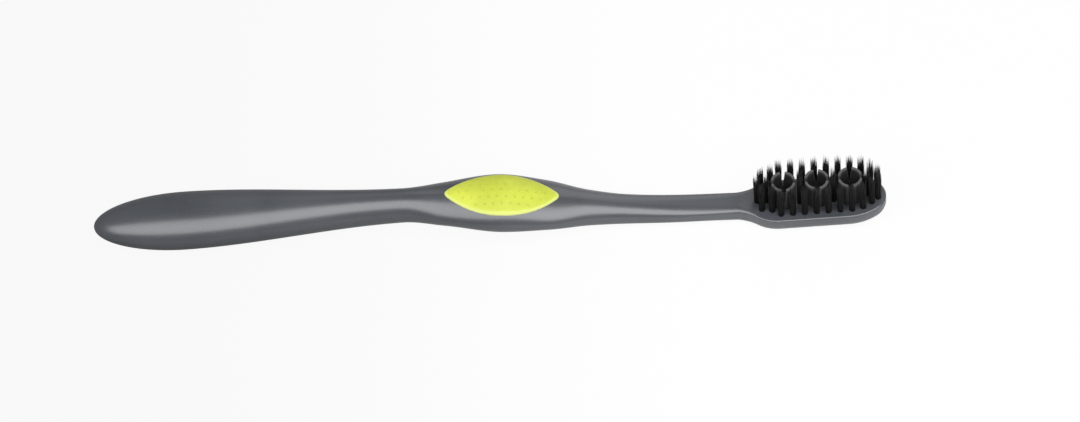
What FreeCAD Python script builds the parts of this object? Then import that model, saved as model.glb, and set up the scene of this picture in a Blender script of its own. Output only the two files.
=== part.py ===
# Manual toothbrush: a moulded handle with a rubber thumb grip, bristle tufts held by wire anchors,
# rubber polishing cups on the head's face and a rubber tongue cleaner on its back.
#
# It is drawn along X from the butt end, with the head's bristle face level at Z = 0 and the bristles up.
# At the end all pieces are laid down together, so that the butt and the heel of the head's back touch Z = 0.
import FreeCAD
import Part
import math
import os
import Sketcher
from FreeCAD import Placement, Rotation, Vector

# Driving sizes, in millimetres unless the name says share or count. A rise is a height over the head's face.
SIZES = {
    "brush_length": 190.0,
    "gate_share": 0.1,
    "dome_span": 22.0,
    "waist_span": 52.4,
    "bulge_span": 22.3,
    "neck_span": 31.6,
    "heel_span": 25.7,
    "butt_width": 15.3,
    "butt_depth": 10.95,
    "butt_rise": 8.6,
    "waist_width": 8.35,
    "waist_depth": 8.15,
    "waist_rise": 8.65,
    "bulge_width": 15.7,
    "bulge_depth": 9.9,
    "bulge_rise": 7.05,
    "neck_width": 6.5,
    "neck_depth": 5.9,
    "neck_rise": 1.0,
    "heel_reach": 6.0,
    "heel_width": 5.9,
    "heel_depth": 3.6,
    "heel_sink": 0.05,
    "oval_fullness": 0.56,
    "neck_top_fullness": 0.82,
    "heel_top_fullness": 0.9,
    "neck_back_fullness": 0.7,
    "head_length": 36.0,
    "head_width": 12.6,
    "head_thickness": 4.2,
    "head_edge_chamfer": 0.25,
    "head_back_chamfer": 1.0,
    "flare_length": 11.0,
    "flare_width": 5.7,
    "heel_margin": 5.0,
    "heel_slope_length": 6.5,
    "heel_slope_height": 1.3,
    "toe_length": 9.4,
    "toe_radius": 4.95,
    "tuft_diameter": 1.46,
    "tuft_tip_diameter": 0.8,
    "tuft_flare": 0.1,
    "tuft_height": 10.8,
    "tuft_taper": 1.7,
    "tuft_sides_count": 8,
    "tuft_clearance": 0.04,
    "hole_floor": 0.8,
    "row_inset": 2.15,
    "row_pitch": 2.84,
    "row_setback": 8.45,
    "row_tufts_count": 7,
    "pair_spacing": 1.9,
    "heel_tuft_pitch": 2.4,
    "flank_step": 2.06,
    "anchor_height": 1.3,
    "anchor_thickness": 0.28,
    "loop_thickness": 0.4,
    "cup_setback": 8.6,
    "cup_pitch": 8.0,
    "cup_height": 7.7,
    "cup_wall": 0.55,
    "cup_slit": 0.9,
    "cup_row_web": 0.45,
    "cup_tuft_web": 0.3,
    "cup_foot": 0.7,
    "stem_diameter": 2.0,
    "cleaner_inset": 1.8,
    "cleaner_depth": 0.8,
    "ring_diameter": 5.2,
    "ring_width": 0.55,
    "ring_slit": 0.8,
    "nub_diameter": 0.7,
    "nub_height": 0.4,
    "nub_pitch": 1.6,
    "grip_length": 27.2,
    "grip_width": 12.0,
    "grip_ahead": 1.5,
    "grip_end_radius": 1.2,
    "grip_proud": 0.4,
    "grip_inlay": 0.7,
}

CUP_COUNT = 3
RING_WALL_COUNT = 4
NUB_SIDE_COUNT = 5
# spans of the handle's skin: over the butt's rounded end, then between its key sections
DOME_SPAN_COUNT = 9
HANDLE_SPAN_COUNTS = (6, 6, 10, 6)
GRIP_SPAN_COUNT = 5
# rows of a staggered grid lie this share of its pitch apart
STAGGERED_SHARE = math.sin(math.radians(60))
# lengths that differ by less than this count as equal
NEAR = 1e-4
# toe tufts: distance from the tip as a share of the side rows' setback, and offset as one of the rows' offset
TOE_TUFTS = ((0.686, 0.88), (0.426, 0.57), (0.237, 0.26))
# tufts that end the side rows at the heel: their offset as the same share
HEEL_FLANKS = (0.69, 0.58)

doc = FreeCAD.newDocument("toothbrush")
sheet = doc.addObject("Spreadsheet::Sheet", "sizes")
entered = []


def enter(alias, value):
    """Put one named size on the next line of the sheet."""
    entered.append(alias)
    row = len(entered)
    sheet.set(f"A{row}", alias.replace("_", " "))
    sheet.set(f"B{row}", str(value))
    sheet.setAlias(f"B{row}", alias)


def size(alias):
    return float(sheet.get(alias))


for alias, value in SIZES.items():
    enter(alias, value)
doc.recompute()

# Sizes that follow from the driving ones.
# The spans along the handle, and those along the head's axis, share out its length.
handle_spans = [size(f"{name}_span") for name in ("dome", "waist", "bulge", "neck", "heel")]
handle_stretch = (size("brush_length") - size("head_length")) / sum(handle_spans)
cup_span = size("cup_pitch") * (CUP_COUNT - 0.5)
axis_spans = [size("cup_setback"), cup_span, size("heel_tuft_pitch"), size("heel_margin")]
head_stretch = size("head_length") / sum(axis_spans)
flare_start = size("brush_length") - size("head_length")
flare_end = flare_start + size("flare_length") * head_stretch
back_level = -size("head_thickness")
tuft_radius = size("tuft_diameter") / 2
hole_radius = tuft_radius + size("tuft_clearance")
hole_depth = size("head_thickness") - size("cleaner_depth") - size("hole_floor")
row_offset = size("head_width") / 2 - size("row_inset")
cup_pitch = size("cup_pitch") * head_stretch
# a cup takes the room that is left beside the side rows and between its neighbours on the axis
cup_radius = min(row_offset - size("cup_row_web"), cup_pitch / 2 - size("cup_tuft_web")) - hole_radius
# an anchor spans its hole from flat to flat, and lies on the fold of its tuft
half_side_turn = 180 / size("tuft_sides_count")
anchor_width = 2 * hole_radius * math.cos(math.radians(half_side_turn))
anchor_level = size("loop_thickness") - hole_depth
enter("cup_diameter", 2 * cup_radius)
enter("anchor_width", anchor_width)
doc.recompute()


def from_tip(distance):
    return size("brush_length") - distance * head_stretch


def from_butt(span_count):
    """Distance of a key section from the butt end, after so many spans."""
    return sum(handle_spans[:span_count]) * handle_stretch


def grip_middle():
    return from_butt(3) + size("grip_ahead")


def cup_places():
    toe_cup = from_tip(size("cup_setback"))
    return [Vector(toe_cup - i * cup_pitch, 0, 0) for i in range(CUP_COUNT)][::-1]


def tuft_places():
    cups = cup_places()
    reach = cup_pitch / 2
    heel = cups[0].x - reach
    places = [Vector(heel, 0, 0), Vector(heel - size("heel_tuft_pitch") * head_stretch, 0, 0)]
    places.append(Vector(cups[-1].x + reach, 0, 0))
    mirrored = [(cup.x + reach, size("pair_spacing") / 2) for cup in cups[:-1]]
    rows = [size("row_setback") + i * size("row_pitch") for i in range(int(size("row_tufts_count")))]
    mirrored += [(from_tip(back), row_offset) for back in rows]
    mirrored += [(from_tip(size("row_setback") * back), share * row_offset) for back, share in TOE_TUFTS]
    for i, share in enumerate(HEEL_FLANKS):
        back = rows[-1] + size("flank_step") + i * size("heel_tuft_pitch")
        mirrored.append((from_tip(back), share * row_offset))
    for x, y in mirrored:
        places += [Vector(x, -y, 0), Vector(x, y, 0)]
    return sorted(places, key=lambda p: (round(p.x, 3), p.y))


def side_arc(end, half_width, length):
    """Radius of the side arcs tangent to an end arc, and the angle in degrees at which they meet it."""
    side = ((length - end) ** 2 + half_width**2 - end**2) / (2 * (half_width - end))
    return side, math.degrees(math.atan2(side - half_width, length - end))


def arc(centre, radius, start, end):
    """Arc of a circle, counter-clockwise between two angles in degrees."""
    circle = Part.Circle(centre, Vector(0, 0, 1), radius)
    return Part.ArcOfCircle(circle, math.radians(start), math.radians(end))


def new_body(name):
    return doc.addObject("PartDesign::Body", name)


def new_sketch(body, name, level=0.0):
    sketch = body.newObject("Sketcher::SketchObject", name)
    plane = next(f for f in body.Origin.OriginFeatures if f.Role == "XY_Plane")
    sketch.AttachmentSupport = [(plane, "")]
    sketch.MapMode = "FlatFace"
    sketch.AttachmentOffset = Placement(Vector(0, 0, level), Rotation())
    return sketch


def add_loop(sketch, curves):
    """Draw a closed loop of lines and arcs and join each end to the start of the next curve."""
    added = [sketch.addGeometry(curve) for curve in curves]
    for one, other in zip(added, added[1:] + added[:1]):
        ends = [(p, q) for p in (1, 2) for q in (1, 2)]
        near = min(ends, key=lambda e: (sketch.getPoint(one, e[0]) - sketch.getPoint(other, e[1])).Length)
        sketch.addConstraint(Sketcher.Constraint("Coincident", one, near[0], other, near[1]))
    return added


def add_circles(sketch, places, diameter):
    """Draw equal circles, the first with its diameter bound to an expression, each centre held in place."""
    first = None
    for place in places:
        circle = sketch.addGeometry(Part.Circle(place, Vector(0, 0, 1), 1.0))
        sketch.addConstraint(Sketcher.Constraint("DistanceX", -1, 1, circle, 3, place.x))
        if abs(place.y) < NEAR:
            sketch.addConstraint(Sketcher.Constraint("PointOnObject", circle, 3, -1))
        else:
            sketch.addConstraint(Sketcher.Constraint("DistanceY", -1, 1, circle, 3, place.y))
        if first is None:
            first = circle
            bound = sketch.addConstraint(Sketcher.Constraint("Diameter", circle, 2.0))
            sketch.setExpression(f"Constraints[{bound}]", diameter)
        else:
            sketch.addConstraint(Sketcher.Constraint("Equal", first, circle))


def add_ring(sketch, centre, outer, wall, slit, turn=0.0):
    """Draw one ring as equal curved walls, parted by slits of constant width."""
    inner = outer - wall
    step = 360 / RING_WALL_COUNT
    for i in range(RING_WALL_COUNT):
        mid = turn + (i + 0.5) * step
        spans = []
        for radius in (outer, inner):
            half = step / 2 - math.degrees(math.asin(slit / 2 / radius))
            spans.append((radius, mid - half, mid + half))
        (r_out, a_out, b_out), (r_in, a_in, b_in) = spans
        far = arc(centre, r_out, a_out, b_out)
        near = arc(centre, r_in, a_in, b_in)
        add_loop(sketch, [
            far,
            Part.LineSegment(far.EndPoint, near.EndPoint),
            near,
            Part.LineSegment(near.StartPoint, far.StartPoint),
        ])


def extrude(body, kind, name, sketch, length, upward):
    """Add a Pad or a Pocket whose length is an expression on the sheet."""
    feature = body.newObject(f"PartDesign::{kind}", name)
    feature.Profile = sketch
    feature.setExpression("Length", length)
    feature.Reversed = upward if kind == "Pocket" else not upward
    sketch.Visibility = False
    doc.recompute()
    return feature


def boolean(kind, name, base, tool):
    result = doc.addObject(f"Part::{kind}", name)
    result.Base = base
    result.Tool = tool
    doc.recompute()
    return result


# The handle's skin is a loft. A section has a top and a back half, each a curve of two mirrored quarters. The
# fullness is the share of half width and half depth that a quarter's handles reach: 0.55 gives an ellipse.
def half_section(x, across, height, rise, full):
    offsets = [(1, 0), (1, full), (full, 1), (0, 1), (-full, 1), (-1, full), (-1, 0)]
    poles = [Vector(x, across * y, rise + height * z) for y, z in offsets]
    curve = Part.BSplineCurve()
    curve.buildFromPolesMultsKnots(poles, [4, 3, 4], [0, 1, 2], False, 3)
    return curve.toShape()


def section_wire(section):
    x, width, depth, rise, top_fullness, back_fullness = section
    top = half_section(x, width / 2, depth / 2, rise, top_fullness)
    back = half_section(x, -width / 2, -depth / 2, rise, back_fullness)
    return Part.Wire([top, back])


def key_sections():
    """The sections that set the handle's form: butt, waist, bulge, neck and the end inside the head."""
    oval = size("oval_fullness")
    back = size("neck_back_fullness")
    fullness = {"butt": (oval, oval), "waist": (oval, oval), "bulge": (oval, oval),
                "neck": (size("neck_top_fullness"), back), "heel": (size("heel_top_fullness"), back)}
    places = {"butt": from_butt(1), "waist": from_butt(2), "bulge": from_butt(3), "neck": from_butt(4),
              "heel": flare_start + size("heel_reach") * head_stretch}
    rises = {name: size(f"{name}_rise") for name in ("butt", "waist", "bulge", "neck")}
    rises["heel"] = -size("heel_depth") / 2 - size("heel_sink")
    keys = []
    for name, x in places.items():
        keys.append((x, size(f"{name}_width"), size(f"{name}_depth"), rises[name], *fullness[name]))
    return keys


def curve_value(xs, values, x):
    """A smooth curve through the values that never overshoots them: level at each peak and hollow."""
    rates = [(b - a) / (q - p) for a, b, p, q in zip(values, values[1:], xs, xs[1:])]
    inner = [2 * a * b / (a + b) if a * b > 0 else 0.0 for a, b in zip(rates, rates[1:])]
    slopes = [0.0] + inner + [rates[-1]]
    i = max(k for k in range(len(rates)) if xs[k] <= x or k == 0)
    run = xs[i + 1] - xs[i]
    share = (x - xs[i]) / run
    rest = 1 - share
    ends = values[i] * rest**2 * (1 + 2 * share) + values[i + 1] * share**2 * (1 + 2 * rest)
    return ends + run * share * rest * (slopes[i] * rest - slopes[i + 1] * share)


def section_at(x):
    columns = list(zip(*key_sections()))
    return (x, *(curve_value(columns[0], column, x) for column in columns[1:]))


def spread(start, end, steps):
    return [start + (end - start) * i / steps for i in range(steps)]


def handle_sections():
    """Sections from the butt's rounded end, which closes on a small flat, to the end inside the head."""
    keys = key_sections()
    butt, end = keys[0], keys[-1]
    gate = math.asin(size("gate_share"))
    sections = []
    for angle in spread(gate, math.pi / 2, DOME_SPAN_COUNT):
        _, width, depth, *rest = butt
        share = math.sin(angle)
        sections.append((butt[0] * (1 - math.cos(angle)), width * share, depth * share, *rest))
    for one, other, spans in zip(keys, keys[1:], HANDLE_SPAN_COUNTS):
        sections += [section_at(x) for x in spread(one[0], other[0], spans)]
    sections.append(end)
    return sections


def make_skin():
    feature = doc.addObject("Part::Feature", "handle_skin")
    feature.Shape = Part.makeLoft([section_wire(section) for section in handle_sections()], True, True)
    return feature


def toe_arcs():
    """Radius of the toe's end arc and of its side arcs, and the angle at which they meet."""
    nose = size("toe_radius")
    side, lean = side_arc(nose, size("head_width") / 2, size("toe_length") * head_stretch)
    return nose, side, lean


def head_outline(sketch):
    """The head in plan: a flare from the neck, straight sides and a toe of three tangent arcs."""
    half = size("head_width") / 2
    start = size("flare_width") / 2
    run = flare_end - flare_start
    gain = half - start
    radius = (run**2 + gain**2) / (4 * gain)
    turn = math.degrees(math.asin(run / 2 / radius))
    nose, side, lean = toe_arcs()
    toe = from_tip(size("toe_length"))
    hollow = Vector(flare_start, start + radius, 0)
    swell = Vector(flare_end, half - radius, 0)
    right = [
        arc(hollow, radius, 270, 270 + turn),
        arc(swell, radius, 90, 90 + turn),
        Part.LineSegment(Vector(flare_end, half, 0), Vector(toe, half, 0)),
        arc(Vector(toe, half - side, 0), side, lean, 90),
    ]
    tip = arc(Vector(size("brush_length") - nose, 0, 0), nose, -lean, lean)
    left = [
        arc(Vector(toe, side - half, 0), side, 270, 360 - lean),
        Part.LineSegment(Vector(toe, -half, 0), Vector(flare_end, -half, 0)),
        arc(Vector(flare_end, radius - half, 0), radius, 270 - turn, 270),
        arc(Vector(flare_start, -start - radius, 0), radius, 90 - turn, 90),
    ]
    close = Part.LineSegment(Vector(flare_start, -start, 0), Vector(flare_start, start, 0))
    add_loop(sketch, right + [tip] + left + [close])


def cleaner_outline(sketch):
    """The tongue cleaner in plan: the head's toe drawn in, straight sides and a round heel."""
    inset = size("cleaner_inset")
    half = size("head_width") / 2
    nose, side, lean = toe_arcs()
    toe = from_tip(size("toe_length"))
    heel = cup_places()[0].x
    edge = half - inset
    add_loop(sketch, [
        Part.LineSegment(Vector(heel, edge, 0), Vector(toe, edge, 0)),
        arc(Vector(toe, half - side, 0), side - inset, lean, 90),
        arc(Vector(size("brush_length") - nose, 0, 0), nose - inset, -lean, lean),
        arc(Vector(toe, side - half, 0), side - inset, 270, 360 - lean),
        Part.LineSegment(Vector(toe, -edge, 0), Vector(heel, -edge, 0)),
        arc(Vector(heel, 0, 0), edge, 90, 270),
    ])


def outline_edges(feature, level):
    """Names of the plate's edges at one level, without the straight one that the neck covers."""
    names = []
    for i, edge in enumerate(feature.Shape.Edges, start=1):
        box = edge.BoundBox
        level_edge = abs(box.ZMin - level) < NEAR and abs(box.ZMax - level) < NEAR
        if level_edge and box.XMax > flare_start + NEAR:
            names.append(f"Edge{i}")
    return names


def bevel(body, name, base, level, length):
    """Chamfer the plate's outline at one level."""
    feature = body.newObject("PartDesign::Chamfer", name)
    feature.Base = (base, outline_edges(base, level))
    feature.setExpression("Size", length)
    doc.recompute()
    return feature


def make_head(cups):
    body = new_body("head")
    outline = new_sketch(body, "head_outline")
    head_outline(outline)
    plate = extrude(body, "Pad", "plate", outline, "sizes.head_thickness", upward=False)
    face_edge = bevel(body, "face_edge", plate, 0.0, "sizes.head_edge_chamfer")
    bevel(body, "back_edge", face_edge, back_level, "sizes.head_back_chamfer")
    slope = body.newObject("Sketcher::SketchObject", "heel_slope_side")
    side_plane = next(f for f in body.Origin.OriginFeatures if f.Role == "XZ_Plane")
    slope.AttachmentSupport = [(side_plane, "")]
    slope.MapMode = "FlatFace"
    low = Vector(flare_start, back_level, 0)
    ahead = low + Vector(size("heel_slope_length") * head_stretch, 0, 0)
    above = low + Vector(0, size("heel_slope_height"), 0)
    add_loop(slope, [Part.LineSegment(a, b) for a, b in ((low, ahead), (ahead, above), (above, low))])
    cut = body.newObject("PartDesign::Pocket", "heel_slope")
    cut.Profile = slope
    cut.Midplane = True
    cut.setExpression("Length", "sizes.head_width")
    doc.recompute()
    seats = new_sketch(body, "seat_plan")
    add_circles(seats, cups, "sizes.cup_diameter")
    extrude(body, "Pocket", "cup_seats", seats, "sizes.cup_foot", upward=False)
    recess = new_sketch(body, "recess_plan", back_level)
    cleaner_outline(recess)
    extrude(body, "Pocket", "cleaner_recess", recess, "sizes.cleaner_depth", upward=True)
    stems = new_sketch(body, "stem_plan")
    add_circles(stems, cups, "sizes.stem_diameter")
    extrude(body, "Pocket", "stem_holes", stems, "sizes.head_thickness", upward=False)
    return body


def make_grip_block():
    """A tall block with the thumb grip's lens-shaped plan: two side arcs and two rounded ends."""
    body = new_body("grip_block")
    plan = new_sketch(body, "grip_plan", size("bulge_rise"))
    half = size("grip_width") / 2
    end = size("grip_end_radius")
    reach = size("grip_length") / 2
    side, lean = side_arc(end, half, reach)
    middle = grip_middle()
    add_loop(plan, [
        arc(Vector(middle, half - side, 0), side, lean, 180 - lean),
        arc(Vector(middle - reach + end, 0, 0), end, 180 - lean, 180 + lean),
        arc(Vector(middle, side - half, 0), side, 180 + lean, 360 - lean),
        arc(Vector(middle + reach - end, 0, 0), end, -lean, lean),
    ])
    extrude(body, "Pad", "grip_prism", plan, "sizes.bulge_depth", upward=True)
    return body


def grip_across():
    """Radius across the grip's crown: a circle through the top and the grip's edges, as wide as the skin."""
    _, width, depth, _, _, _ = section_at(grip_middle())
    half = size("grip_width") / 2
    drop = depth / 2 * (1 - math.sqrt(1 - (half / (width / 2)) ** 2))
    return (half**2 + drop**2) / (2 * drop)


def make_round(name, start, end, below_skin):
    """A long cylinder under two points on the handle's top, its upper side at a depth below them."""
    radius = grip_across()
    along = Rotation(Vector(0, 0, 1), end - start)
    offset = along.multVec(Vector(0, 0, -size("grip_length")))
    under = Vector(0, 1, 0).cross(end - start).normalize()
    bar = doc.addObject("Part::Cylinder", name)
    bar.Radius = radius
    bar.setExpression("Height", "3 * sizes.grip_length")
    bar.Placement = Placement(start + offset + under * (radius + below_skin), along)
    return bar


def make_grip():
    """The thumb grip: the block's part under a crown of short spans over the skin, down to a round floor."""
    reach = size("grip_length") / 2
    middle = grip_middle()
    tops = []
    for i in range(GRIP_SPAN_COUNT + 1):
        x, _, depth, rise, _, _ = section_at(middle - reach + 2 * reach * i / GRIP_SPAN_COUNT)
        tops.append(Vector(x, 0, rise + depth / 2))
    pad = make_grip_block()
    for i, (start, end) in enumerate(zip(tops, tops[1:]), start=1):
        crown = make_round(f"grip_crown_{i}", start, end, -size("grip_proud"))
        pad = boolean("Common", f"grip_capped_{i}", pad, crown)
    floor = make_round("grip_floor", tops[0], tops[-1], size("grip_inlay"))
    return boolean("Cut", "thumb_grip", pad, floor)


def make_anchor(index, place):
    anchor = doc.addObject("Part::Box", f"anchor_{index:02d}")
    anchor.setExpression("Length", "sizes.anchor_width")
    anchor.setExpression("Width", "sizes.anchor_thickness")
    anchor.setExpression("Height", "sizes.anchor_height")
    turn = Rotation(Vector(0, 0, 1), half_side_turn)
    corner = turn.multVec(Vector(-anchor_width / 2, -size("anchor_thickness") / 2, 0))
    anchor.Placement = Placement(place + corner + Vector(0, 0, anchor_level), turn)
    return anchor


def flat_sided(place, sides, rings):
    """A solid with flat sides through regular polygons, each given as a level and a radius."""
    loops = []
    for level, radius in rings:
        loop = []
        for i in range(sides):
            angle = 2 * math.pi * i / sides
            loop.append(place + Vector(radius * math.cos(angle), radius * math.sin(angle), level))
        loops.append(loop)
    outlines = [loops[0], loops[-1]]
    for low, high in zip(loops, loops[1:]):
        for i in range(sides):
            j = (i + 1) % sides
            outlines.append([low[i], low[j], high[j], high[i]])
    faces = [Part.Face(Part.makePolygon(points + points[:1])) for points in outlines]
    return Part.Solid(Part.makeShell(faces))


def make_hole(index, place):
    """The hole of one tuft, as many-sided as its tuft."""
    hole = doc.addObject("Part::Prism", f"tuft_hole_{index:02d}")
    hole.setExpression("Polygon", "sizes.tuft_sides_count")
    hole.setExpression("Circumradius", "sizes.tuft_diameter / 2 + sizes.tuft_clearance")
    hole.setExpression("Height", "sizes.head_thickness")
    hole.Placement = Placement(place + Vector(0, 0, -hole_depth), Rotation())
    return hole


def make_tuft(index, place, anchor):
    """A bundle from the hole's floor to a tapered tip, folded round its anchor."""
    bundle = doc.addObject("Part::Feature", f"bundle_{index:02d}")
    bundle.Shape = flat_sided(place, int(size("tuft_sides_count")), [
        (-hole_depth, tuft_radius),
        (size("tuft_height") - size("tuft_taper"), tuft_radius + size("tuft_flare")),
        (size("tuft_height"), size("tuft_tip_diameter") / 2),
    ])
    tuft = doc.addObject("Part::Cut", f"tuft_{index:02d}")
    tuft.Base = bundle
    tuft.Tool = anchor
    return tuft


def make_cup(index, place):
    """A polishing cup: four curved walls on a foot, with a stem through the head to the tongue cleaner."""
    body = new_body(f"polishing_cup_{index}")
    foot = new_sketch(body, "foot_plan", -size("cup_foot"))
    add_circles(foot, [place], "sizes.cup_diameter")
    extrude(body, "Pad", "foot", foot, "sizes.cup_foot", upward=True)
    walls = new_sketch(body, "wall_plan")
    add_ring(walls, place, cup_radius, size("cup_wall"), size("cup_slit"))
    extrude(body, "Pad", "walls", walls, "sizes.cup_height", upward=True)
    stem = new_sketch(body, "stem_plan", -size("cup_foot"))
    add_circles(stem, [place], "sizes.stem_diameter")
    extrude(body, "Pad", "stem", stem, "sizes.head_thickness - sizes.cleaner_depth - sizes.cup_foot",
            upward=False)
    return body


def nub_places(outline, cups):
    """Nubs on a staggered grid over the pad, kept clear of its edge and of the rings."""
    pitch = size("nub_pitch")
    row_step = pitch * STAGGERED_SHARE
    ring = size("ring_diameter") / 2 - size("ring_width") / 2
    ring_room = size("ring_width") / 2 + size("nub_diameter") / 2
    pad = Part.Face(outline)
    box = outline.BoundBox
    rows = int(box.YMax / row_step)
    columns = int(box.XLength / pitch)
    places = []
    for j in range(-rows, rows + 1):
        for i in range(columns):
            place = Vector(box.XMin + (i + 0.5 + (j % 2) / 2) * pitch, j * row_step, 0)
            spot = Part.Vertex(place + Vector(0, 0, back_level))
            on_pad = spot.distToShape(pad)[0] < NEAR and spot.distToShape(outline)[0] >= pitch / 2 - NEAR
            off_rings = all(abs((place - cup).Length - ring) > ring_room for cup in cups)
            if on_pad and off_rings:
                places.append(place)
    return places


def make_cleaner(cups):
    """The tongue cleaner: a pad that fills the recess in the head's back, with broken rings and nubs."""
    body = new_body("cleaner_pad")
    plan = new_sketch(body, "pad_plan", back_level)
    cleaner_outline(plan)
    extrude(body, "Pad", "pad", plan, "sizes.cleaner_depth", upward=True)
    rings = new_sketch(body, "ring_plan", back_level)
    for cup in cups:
        add_ring(rings, cup, size("ring_diameter") / 2, size("ring_width"), size("ring_slit"), turn=45.0)
    extrude(body, "Pad", "rings", rings, "sizes.nub_height", upward=False)
    nubs = doc.addObject("Part::Feature", "cleaner_nubs")
    nub = size("nub_diameter") / 2
    levels = [(back_level, nub), (back_level - size("nub_height"), nub / 2)]
    places = nub_places(plan.Shape.Wires[0], cups)
    nubs.Shape = Part.makeCompound([flat_sided(place, NUB_SIDE_COUNT, levels) for place in places])
    return boolean("Fuse", "tongue_cleaner", body, nubs)


def main():
    cups = cup_places()
    tufts = tuft_places()
    pieces = []
    grip = make_grip()
    hollowed = boolean("Cut", "handle_hollowed", make_skin(), grip)
    blank = boolean("Fuse", "handle_blank", hollowed, make_head(cups))
    holes = doc.addObject("Part::Compound", "tuft_holes")
    holes.Links = [make_hole(i, place) for i, place in enumerate(tufts, start=1)]
    pieces.append(boolean("Cut", "handle", blank, holes))
    pieces.append(grip)
    pieces.append(make_cleaner(cups))
    pieces += [make_cup(i, place) for i, place in enumerate(cups, start=1)]
    anchors = [make_anchor(i, place) for i, place in enumerate(tufts, start=1)]
    pieces += [make_tuft(i, place, anchor) for i, (place, anchor) in enumerate(zip(tufts, anchors), start=1)]
    group = doc.addObject("Part::Compound", "tuft_anchors")
    group.Links = anchors
    pieces.append(group)
    doc.recompute()
    for item in doc.Objects:
        if "Invalid" in item.State or "Error" in item.State:
            raise RuntimeError(f"{item.Name} did not build: {item.State}")
    lay_down(pieces)
    os.makedirs("parts", exist_ok=True)
    for piece in pieces:
        if piece.Shape.isNull() or not piece.Shape.isValid():
            raise RuntimeError(f"{piece.Label} has no valid shape")
        piece.Shape.exportStep(f"parts/{piece.Label}.step")
        print(piece.Label, len(piece.Shape.Solids), round(piece.Shape.Volume, 2))


def lay_down(pieces):
    """Turn all the pieces together until butt and heel touch the ground, and centre the footprint."""
    handle, _, cleaner = pieces[:3]
    heel = cleaner.Shape.BoundBox.XMin + size("nub_pitch") / 2
    drop = (size("butt_rise") - size("butt_depth") / 2) - (back_level - size("nub_height"))
    angle = math.degrees(math.atan2(drop, heel - from_butt(1)))
    turn = Placement(Vector(), Rotation(Vector(0, 1, 0), -angle))
    box = FreeCAD.BoundBox()
    for piece in (handle, cleaner):
        shape = piece.Shape.copy()
        shape.Placement = turn.multiply(shape.Placement)
        box.add(shape.optimalBoundingBox(False, False))
    shift = Placement(Vector(-box.Center.x, -box.Center.y, -box.ZMin), Rotation())
    for piece in pieces:
        piece.Placement = shift.multiply(turn).multiply(piece.Placement)
    print("laid at", round(angle, 3), box)


main()
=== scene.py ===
import math

import bmesh
import bpy
import numpy as np
from mathutils import Matrix, Vector


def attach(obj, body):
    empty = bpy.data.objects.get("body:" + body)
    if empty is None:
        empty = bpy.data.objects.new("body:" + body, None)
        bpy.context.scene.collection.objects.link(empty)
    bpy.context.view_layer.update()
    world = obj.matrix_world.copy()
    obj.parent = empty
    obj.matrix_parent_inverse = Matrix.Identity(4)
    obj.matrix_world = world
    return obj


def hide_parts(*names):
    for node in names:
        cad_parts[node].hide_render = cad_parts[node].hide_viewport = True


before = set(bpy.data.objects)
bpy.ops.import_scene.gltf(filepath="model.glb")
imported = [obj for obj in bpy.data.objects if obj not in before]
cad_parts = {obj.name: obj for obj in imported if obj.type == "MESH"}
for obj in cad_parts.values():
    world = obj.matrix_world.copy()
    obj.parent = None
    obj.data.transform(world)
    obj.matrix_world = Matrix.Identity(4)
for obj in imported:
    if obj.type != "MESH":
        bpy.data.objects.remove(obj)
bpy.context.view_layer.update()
print("frame loaded:", len(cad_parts), "nodes")

# Everything is drawn in millimetres along X from the butt, with the head's face level at z = 0, as the part
# is drawn, then pitched and shifted to where the part lies.
lay = {"cos": 0.998474614606, "sin": 0.055212715804, "shiftX": -94.746025, "shiftZ": -4.21013}


def laid(points):
    # pitch about Y, then the shift, then metres
    x, y, z = points[..., 0], points[..., 1], points[..., 2]
    far = x * lay["cos"] - z * lay["sin"] + lay["shiftX"]
    high = x * lay["sin"] + z * lay["cos"] + lay["shiftZ"]
    return np.stack([far, y, high], -1) * 0.001


def smooth(t):
    # ease from 0 to 1 with level ends
    t = np.clip(t, 0, 1)
    return t * t * (3 - 2 * t)


def curve(keyXs, keyValues, x):
    # cubic through the keys that never overshoots: level at peaks and hollows, level at the start
    keyXs, keyValues = np.asarray(keyXs, float), np.asarray(keyValues, float)
    rates = np.diff(keyValues) / np.diff(keyXs)
    before, after = rates[:-1], rates[1:]
    total = np.where(before + after == 0, 1, before + after)
    inner = np.where(before * after > 0, 2 * before * after / total, 0)
    slopes = np.concatenate([[0], inner, [rates[-1]]])
    i = np.clip(np.searchsorted(keyXs, x, side="right") - 1, 0, len(rates) - 1)
    run = keyXs[i + 1] - keyXs[i]
    t = (x - keyXs[i]) / run
    r = 1 - t
    ends = keyValues[i] * r**2 * (1 + 2 * t) + keyValues[i + 1] * t**2 * (1 + 2 * r)
    return ends + run * t * r * (slopes[i] * r - slopes[i + 1] * t)


def gridFaces(rows, columns, start=0, closeRows=False, closeColumns=False):
    # quads between neighbours of a rows x columns grid, wrapping where it closes on itself
    i = np.arange(rows if closeRows else rows - 1)[:, None]
    j = np.arange(columns if closeColumns else columns - 1)[None, :]
    nextI, nextJ = (i + 1) % rows, (j + 1) % columns
    quads = [i * columns + j, i * columns + nextJ, nextI * columns + nextJ, nextI * columns + j]
    return np.stack(np.broadcast_arrays(*quads), -1).reshape(-1, 4) + start


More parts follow.
